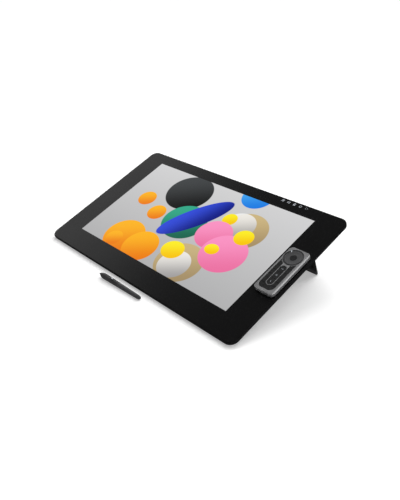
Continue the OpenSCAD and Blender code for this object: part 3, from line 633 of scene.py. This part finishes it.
def finish_node(node, rounding=0.0, segments=3, sharp=35):
    """Gives a CAD node its material and rounds its edges with live modifiers."""
    obj = NODES[node]
    obj.data.materials.clear()
    obj.data.materials.append(finish_of(SLOT_OF[node]))
    for face in obj.data.polygons:
        face.use_smooth = True
    weld = obj.modifiers.new("weld", "WELD")
    weld.merge_threshold = 0.001 * MM
    if rounding:
        flat = obj.modifiers.new("flatten", "DECIMATE")
        flat.decimate_type = "DISSOLVE"
        flat.angle_limit = math.radians(0.5)
        bevel = obj.modifiers.new("round", "BEVEL")
        bevel.width = rounding
        bevel.segments = segments
        bevel.limit_method = "ANGLE"
        bevel.angle_limit = math.radians(sharp)
        bevel.use_clamp_overlap = True
    normals = obj.modifiers.new("normals", "WEIGHTED_NORMAL")
    normals.keep_sharp = True
    return obj


def make_piece(name, shape, place, body, slot, finish=None):
    """Turns a bmesh drawn in a local frame into a finished piece that rides on a body."""
    shape.transform(place)
    bmesh.ops.recalc_face_normals(shape, faces=shape.faces)
    mesh = bpy.data.meshes.new(name)
    shape.to_mesh(mesh)
    shape.free()
    for face in mesh.polygons:
        face.use_smooth = True
    piece = bpy.data.objects.new(name, mesh)
    bpy.context.scene.collection.objects.link(piece)
    mesh.materials.append(finish_of(finish or slot))
    normals = piece.modifiers.new("normals", "WEIGHTED_NORMAL")
    normals.keep_sharp = True
    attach(piece, body)
    return piece


def add_block(shape, middle, size, rounding=0.0, turn=0.0, segments=2):
    """Block with rounded edges, added to a bmesh."""
    made = bmesh.ops.create_cube(shape, size=1.0)["verts"]
    bmesh.ops.scale(shape, vec=size, verts=made)
    if rounding:
        edges = list({edge for vert in made for edge in vert.link_edges})
        made = bmesh.ops.bevel(
            shape,
            geom=edges,
            offset=rounding,
            segments=segments,
            profile=0.5,
            affect="EDGES",
            material=-1,
        )["verts"]
    bmesh.ops.rotate(shape, cent=(0, 0, 0), matrix=Matrix.Rotation(turn, 3, "Z"), verts=made)
    bmesh.ops.translate(shape, vec=middle, verts=made)


def add_lathe(shape, points, steps=48):
    """Body turned round X from closed (x, radius) points, added to a bmesh."""
    verts = [shape.verts.new((x, 0, radius)) for x, radius in points]
    edges = [shape.edges.new((verts[i - 1], verts[i])) for i in range(len(verts))]
    bmesh.ops.spin(
        shape,
        geom=verts + edges,
        cent=(0, 0, 0),
        axis=(1, 0, 0),
        angle=math.tau,
        steps=steps,
        use_merge=True,
    )
    bmesh.ops.remove_doubles(shape, verts=shape.verts, dist=0.001 * MM)


def body_of(node):
    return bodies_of(NODES[node])[0]


def radius_at(node, place, x):
    """Largest radius of a turned CAD node near a place along its axis."""
    near = 0.5 * MM
    inverse = place.inverted()
    points = [inverse @ vertex.co for vertex in NODES[node].data.vertices]
    return max(math.hypot(p.y, p.z) for p in points if abs(p.x - x) < near)


def middle_of(node, place):
    low, high = box_in(node, place)
    return (low + high) / 2


# ---------------------------------------------------------------- small pieces


def make_power_mark():
    """Plain ring and bar on the power button's end."""
    outer = 1.15 * MM
    inner = 0.85 * MM
    proud = 0.05 * MM
    shape = bmesh.new()
    add_lathe(shape, [(-proud, inner), (-proud, outer), (proud, outer), (proud, inner)], 32)
    add_block(shape, (0, 0, outer), (2 * proud, 0.3 * MM, 1.1 * MM))
    low, high = box_in("power_button", GLASS)
    place = GLASS @ Matrix.Translation(((low.x + high.x) / 2, high.y, (low.z + high.z) / 2))
    place = place @ Matrix.Rotation(math.radians(90), 4, "Z")
    make_piece("power_mark", shape, place, body_of("power_button"), "mark_white")


def make_port_contacts():
    """Rows of contacts on the tongues of both side sockets."""
    middle = middle_of("side_ports", GLASS)
    mouth = box_in("side_ports", GLASS)[1].x
    from_mouth = 6 * MM
    pitch = 1.2 * MM
    above = 0.52 * MM
    shape = bmesh.new()
    for side in (-1, 1):
        for row in range(-3, 4):
            spot = (side * (mouth - from_mouth), middle.y + row * pitch, middle.z + above)
            add_block(shape, spot, (4 * MM, 0.6 * MM, 0.06 * MM))
    make_piece("side_contacts", shape, GLASS, body_of("side_ports"), "coil_copper")


def make_blank_label():
    """Blank foil label on the underside, between the front foot and the arm plate."""
    low, high = box_in("rear_cover", UNDER)
    foot_low, foot_high = box_in("front_foot", UNDER)
    plate_low, plate_high = box_in("vesa_plate", UNDER)
    outside = high.z if foot_high.z > high.z - 1 * MM else low.z
    near = min(abs(foot_high.y - plate_low.y), abs(plate_high.y - foot_low.y)) / 2
    y = plate_low.y - near if plate_low.y > foot_high.y else plate_high.y + near
    shape = bmesh.new()
    add_block(shape, (0, y, outside), (72 * MM, 28 * MM, 0.16 * MM), 0.04 * MM)
    make_piece("blank_label", shape, UNDER, body_of("rear_cover"), "battery_foil")


def make_pen_seam():
    """Thin ring where the grip meets the barrel."""
    end = box_in("pen_grip", PEN)[1].x
    radius = radius_at("pen_grip", PEN, end)
    half = 0.35 * MM
    outer = radius + 0.08 * MM
    inner = radius - 0.4 * MM
    shape = bmesh.new()
    add_lathe(shape, [(-half, inner), (-half, outer), (half, outer), (half, inner)])
    place = PEN @ Matrix.Translation((end, 0, 0))
    make_piece("pen_seam", shape, place, body_of("pen_barrel"), "button_plastic")


def make_rocker_nub_painted_highlight():
    """Raised pale nub in the middle of the rocker, with a faint glow: a painted highlight on the switch."""
    low, high = box_in("pen_rocker", PEN)
    spot = ((low.x + high.x) / 2, 0, high.z)
    shape = bmesh.new()
    add_block(shape, spot, (5 * MM, 2.4 * MM, 0.8 * MM), 0.35 * MM, segments=3)
    # The glowing mark finish paints a highlight onto the nub.
    make_piece("rocker_nub_painted_highlight", shape, PEN, body_of("pen_rocker"), "mark_white")


# Marks on the middle keys, as blocks: x and y from the key's middle, width and depth, in millimetres.
KEY_MARKS = {
    "middle_key_1": [(0, 0, 1.6, 1.6)],
    "middle_key_2": [(-1.1, 0, 0.7, 3.2), (1.1, 0, 0.7, 3.2)],
    "middle_key_3": [(-1.8, 0, 0.9, 0.9), (0, 0, 0.9, 0.9), (1.8, 0, 0.9, 0.9)],
}


def make_key_marks():
    """Plain marks on the three middle keys: a dot, two bars and three dots."""
    thick = 0.06
    for node, blocks in KEY_MARKS.items():
        low, high = box_in(node, REMOTE)
        middle = Vector(((low.x + high.x) / 2, (low.y + high.y) / 2, high.z))
        shape = bmesh.new()
        for x, y, width, depth in blocks:
            size = Vector((width, depth, thick)) * MM
            add_block(shape, middle + Vector((x, y, 0)) * MM, size, 0.02 * MM)
        make_piece(f"{node}_mark", shape, REMOTE, body_of(node), "mark_white")


def ring_spot(ring_box, from_rim, angle, below_top):
    """Place on the touch ring, from its rim inwards, at an angle, and below its top."""
    low, high = ring_box
    reach = (high.x - low.x) / 2 - from_rim
    x = (low.x + high.x) / 2 + reach * math.cos(angle)
    y = (low.y + high.y) / 2 + reach * math.sin(angle)
    return (x, y, high.z - below_top)


def make_ring_ridges():
    """Small ridges round the touch ring's raised disc."""
    ridges = 60
    ring_box = box_in("remote_ring", REMOTE)
    shape = bmesh.new()
    for i in range(ridges):
        angle = math.tau * i / ridges
        spot = ring_spot(ring_box, 3.2 * MM, angle, 0.3 * MM)
        add_block(shape, spot, (1.5 * MM, 0.7 * MM, 0.5 * MM), 0.12 * MM, angle, 1)
    make_piece("ring_ridges", shape, REMOTE, body_of("remote_ring"), "ring_plastic")


def make_ring_tick():
    """Lit tick in the touch ring's groove."""
    angle = math.radians(138)
    shape = bmesh.new()
    spot = ring_spot(box_in("remote_ring", REMOTE), 1.9 * MM, angle, 0.9 * MM)
    add_block(shape, spot, (3.4 * MM, 1.7 * MM, 1.2 * MM), 0.2 * MM, angle)
    make_piece("ring_tick", shape, REMOTE, body_of("remote_ring"), "mark_white", "lit_tick")


# ---------------------------------------------------------------- operators


class GlassOperator(bpy.types.Operator):
    """Finish the cover glass, the print, the picture and the touch marks."""

    bl_idname = "pen_display.glass"
    bl_label = "Glass and picture"

    def execute(self, context):
        finish_node("cover_glass", 0.25 * MM)
        finish_node("touch_marks")
        for node in ("border_mask", "display_panel", "light_guide", "backlight_tray", "sensor_board"):
            finish_node(node)
        return {"FINISHED"}


class CaseOperator(bpy.types.Operator):
    """Finish the side frame, the rear cover, the arm plate, the screws and the feet."""

    bl_idname = "pen_display.case"
    bl_label = "Case"

    def execute(self, context):
        rounding = context.scene.case_looks.edge_round
        finish_node("side_frame", 0.2 * MM)
        finish_node("rear_cover", rounding)
        finish_node("vesa_plate", rounding)
        finish_node("front_foot", rounding)
        finish_node("rear_feet", 0.2 * MM)
        for node in ("case_screws", "chassis", "hinge_shafts"):
            finish_node(node)
        make_blank_label()
        return {"FINISHED"}


class ElectronicsOperator(bpy.types.Operator):
    """Finish the boards, the heat sink, the fans, the speakers and the sockets."""

    bl_idname = "pen_display.electronics"
    bl_label = "Electronics"

    def execute(self, context):
        for node in ("circuit_boards", "heat_sink", "fan_housings", "fan_rotor_left", "fan_rotor_right"):
            finish_node(node)
        for node in ("speakers", "rear_ports", "side_ports"):
            finish_node(node)
        make_port_contacts()
        return {"FINISHED"}


class LegsOperator(bpy.types.Operator):
    """Finish both legs and their rubber feet."""

    bl_idname = "pen_display.legs"
    bl_label = "Legs"

    def execute(self, context):
        for side in ("left", "right"):
            finish_node(f"leg_{side}", 0.4 * MM)
            finish_node(f"leg_{side}_foot", 0.4 * MM)
        return {"FINISHED"}


class ButtonsOperator(bpy.types.Operator):
    """Finish the power button and the touch switch."""

    bl_idname = "pen_display.buttons"
    bl_label = "Edge buttons"

    def execute(self, context):
        finish_node("power_button", 0.2 * MM)
        finish_node("touch_switch", 0.2 * MM)
        make_power_mark()
        return {"FINISHED"}


class PenOperator(bpy.types.Operator):
    """Finish the pen."""

    bl_idname = "pen_display.pen"
    bl_label = "Pen"

    def execute(self, context):
        for node in ("pen_barrel", "pen_grip", "pen_cone", "pen_nib", "pen_eraser", "pen_core"):
            finish_node(node)
        finish_node("pen_rocker", 0.3 * MM)
        make_pen_seam()
        make_rocker_nub_painted_highlight()
        return {"FINISHED"}


class RemoteOperator(bpy.types.Operator):
    """Finish the remote's shells, ring and keys."""

    bl_idname = "pen_display.remote"
    bl_label = "Remote"

    def execute(self, context):
        finish_node("remote_base", 0.3 * MM)
        finish_node("remote_faceplate", 0.15 * MM)
        finish_node("remote_back", 0.2 * MM)
        finish_node("remote_ring")
        finish_node("ring_button")
        for node in ("remote_battery", "remote_board"):
            finish_node(node)
        rounding = context.scene.remote_looks.key_round
        for node in NODES:
            if "_key" in node:
                finish_node(node, rounding)
        make_key_marks()
        make_ring_ridges()
        make_ring_tick()
        return {"FINISHED"}


class StageOperator(bpy.types.Operator):
    """Set up the floor, the lights and the camera."""

    bl_idname = "pen_display.stage"
    bl_label = "Stage"

    def execute(self, context):
        make_floor()
        make_lights()
        make_camera()
        return {"FINISHED"}


# ---------------------------------------------------------------- stage


def white_ground():
    """Matt white ground that is clear from below, so that the underside can be looked at."""
    material, tree, shader, where = plain_material("white_ground")
    slow = use(tree, "Slow variation", {"Vector": where, "Scale": 3.0, "Low": 0.85, "High": 0.95})
    feed(tree, shader.inputs["Roughness"], slow.outputs["Value"])
    shader.inputs["Base Color"].default_value = (0.8, 0.8, 0.8, 1)
    shader.inputs["Specular IOR Level"].default_value = 0.0
    shader.inputs["Emission Color"].default_value = (1, 1, 1, 1)
    shader.inputs["Emission Strength"].default_value = 0.4
    below = add(tree, "ShaderNodeNewGeometry").outputs["Backfacing"]
    clear = add(tree, "ShaderNodeBsdfTransparent").outputs[0]
    mixed = add(tree, "ShaderNodeMixShader", {0: below, 1: shader.outputs[0], 2: clear}).outputs[0]
    feed(tree, tree.nodes["Material Output"].inputs["Surface"], mixed)
    return material


def make_stage_piece(name, shape, material):
    mesh = bpy.data.meshes.new(name)
    shape.to_mesh(mesh)
    shape.free()
    piece = bpy.data.objects.new(name, mesh)
    mesh.materials.append(material)
    bpy.context.scene.collection.objects.link(piece)
    piece.visible_glossy = False
    return piece


def make_floor():
    """White ground, and a round white backdrop that only the camera sees."""
    half = 25
    shape = bmesh.new()
    bmesh.ops.create_grid(shape, x_segments=1, y_segments=1, size=half)
    make_stage_piece("floor", shape, white_ground())
    shape = bmesh.new()
    bmesh.ops.create_icosphere(shape, subdivisions=5, radius=half)
    bmesh.ops.reverse_faces(shape, faces=shape.faces)
    backdrop = make_stage_piece("backdrop", shape, glowing("backdrop_white", (1, 1, 1), 1.2))
    backdrop.visible_diffuse = False
    backdrop.visible_shadow = False
    backdrop.visible_transmission = False


def aim(obj, target):
    """Points a light at a target."""
    obj.rotation_euler = (Vector(target) - obj.location).to_track_quat("-Z", "Y").to_euler()


def make_sun(name, strength, azimuth, elevation):
    """Wide soft sun that stands at an azimuth and elevation, and isn't mirrored in the glass."""
    sun = bpy.data.objects.new(name, bpy.data.lights.new(name, "SUN"))
    sun.data.energy = strength
    sun.data.angle = math.radians(SUN_SPREAD)
    level = math.cos(math.radians(elevation))
    sun.location = (
        level * math.cos(math.radians(azimuth)),
        level * math.sin(math.radians(azimuth)),
        math.sin(math.radians(elevation)),
    )
    aim(sun, (0, 0, 0))
    sun.visible_glossy = False
    bpy.context.scene.collection.objects.link(sun)


def make_softbox(name, power, size, place, target):
    box = bpy.data.objects.new(name, bpy.data.lights.new(name, "AREA"))
    box.data.shape = "RECTANGLE"
    box.data.size, box.data.size_y = size
    box.data.energy = power
    box.location = place
    aim(box, target)
    bpy.context.scene.collection.objects.link(box)


# Suns: name, strength, azimuth, elevation. All are equally wide.
SUN_SPREAD = 32
SUNS = [
    ("low_rear_light", 1.65, 90, 30),
    ("high_rear_light", 1.45, 120, 50),
    ("left_light", 0.3, 180, 70),
]

# Softboxes: name, watts, size, place, and what it is aimed at.
SOFTBOXES = [
    ("left_softbox", 12, (4.0, 1.7), (-2.4, 0.5, 1.25), (0, 0.1, 0.1)),
    ("overhead_softbox", 7, (0.9, 0.9), (0.75, 0.45, 2.0), (0.3, 0.2, 0.1)),
]
WORLD_LIGHT = 0.08


def make_lights():
    """Soft light from behind and the left, a softbox that the glass mirrors, one overhead."""
    for sun in SUNS:
        make_sun(*sun)
    for box in SOFTBOXES:
        make_softbox(*box)
    world = bpy.data.worlds.new("studio")
    world.use_nodes = True
    background = world.node_tree.nodes["Background"]
    background.inputs["Color"].default_value = (1, 1, 1, 1)
    background.inputs["Strength"].default_value = WORLD_LIGHT
    bpy.context.scene.world = world
    bpy.context.scene.view_settings.view_transform = "Standard"


# The camera's direction and lean, its lens, and its place from the glass's front edge.
CAMERA_AZIMUTH = 48.02
CAMERA_ELEVATION = 28.98
CAMERA_ROLL = 1.918
CAMERA_LENS = 41.09
CAMERA_PLACE = (0.942493, -0.617533, 0.690506)


def make_camera():
    """Camera that looks down on the right front corner, with a slight lean."""
    azimuth = math.radians(CAMERA_AZIMUTH)
    elevation = math.radians(CAMERA_ELEVATION)
    roll = math.radians(CAMERA_ROLL)
    level = math.cos(elevation)
    right = Vector((math.cos(azimuth), math.sin(azimuth), 0))
    back = Vector((math.sin(azimuth) * level, -math.cos(azimuth) * level, math.sin(elevation)))
    up = back.cross(right)
    turned_right = right * math.cos(roll) - up * math.sin(roll)
    turned_up = right * math.sin(roll) + up * math.cos(roll)
    place = Matrix((turned_right, turned_up, back)).transposed().to_4x4()
    place.translation = GLASS.translation + Vector(CAMERA_PLACE)
    camera = bpy.data.objects.new("camera", bpy.data.cameras.new("camera"))
    camera.data.sensor_width = 36
    camera.data.lens = CAMERA_LENS
    camera.data.clip_end = 60
    camera.matrix_world = place
    bpy.context.scene.collection.objects.link(camera)
    bpy.context.scene.camera = camera


# ---------------------------------------------------------------- panel and main


OPERATORS = [
    GlassOperator,
    CaseOperator,
    ElectronicsOperator,
    LegsOperator,
    ButtonsOperator,
    PenOperator,
    RemoteOperator,
    StageOperator,
]


class DisplayPanel(bpy.types.Panel):
    """Lists the pieces in the sidebar."""

    bl_idname = "VIEW3D_PT_pen_display"
    bl_label = "Pen display"
    bl_space_type = "VIEW_3D"
    bl_region_type = "UI"
    bl_category = "Pen display"

    def draw(self, context):
        for group in (context.scene.case_looks, context.scene.remote_looks, context.scene.pen_looks):
            for name in group.__annotations__:
                self.layout.prop(group, name)
        for operator in OPERATORS:
            self.layout.operator(operator.bl_idname)


SETTINGS = {
    "case_looks": DisplaySettings,
    "remote_looks": RemoteSettings,
    "pen_looks": PenSettings,
}


def register():
    for name, group in SETTINGS.items():
        bpy.utils.register_class(group)
        setattr(bpy.types.Scene, name, bpy.props.PointerProperty(type=group))
    for made in (*OPERATORS, DisplayPanel):
        bpy.utils.register_class(made)


def unregister():
    for made in (DisplayPanel, *reversed(OPERATORS)):
        bpy.utils.unregister_class(made)
    for name, group in SETTINGS.items():
        delattr(bpy.types.Scene, name)
        bpy.utils.unregister_class(group)


def main():
    register()
    for operator in OPERATORS:
        section, call = operator.bl_idname.split(".")
        getattr(getattr(bpy.ops, section), call)()


if __name__ == "__main__":
    main()
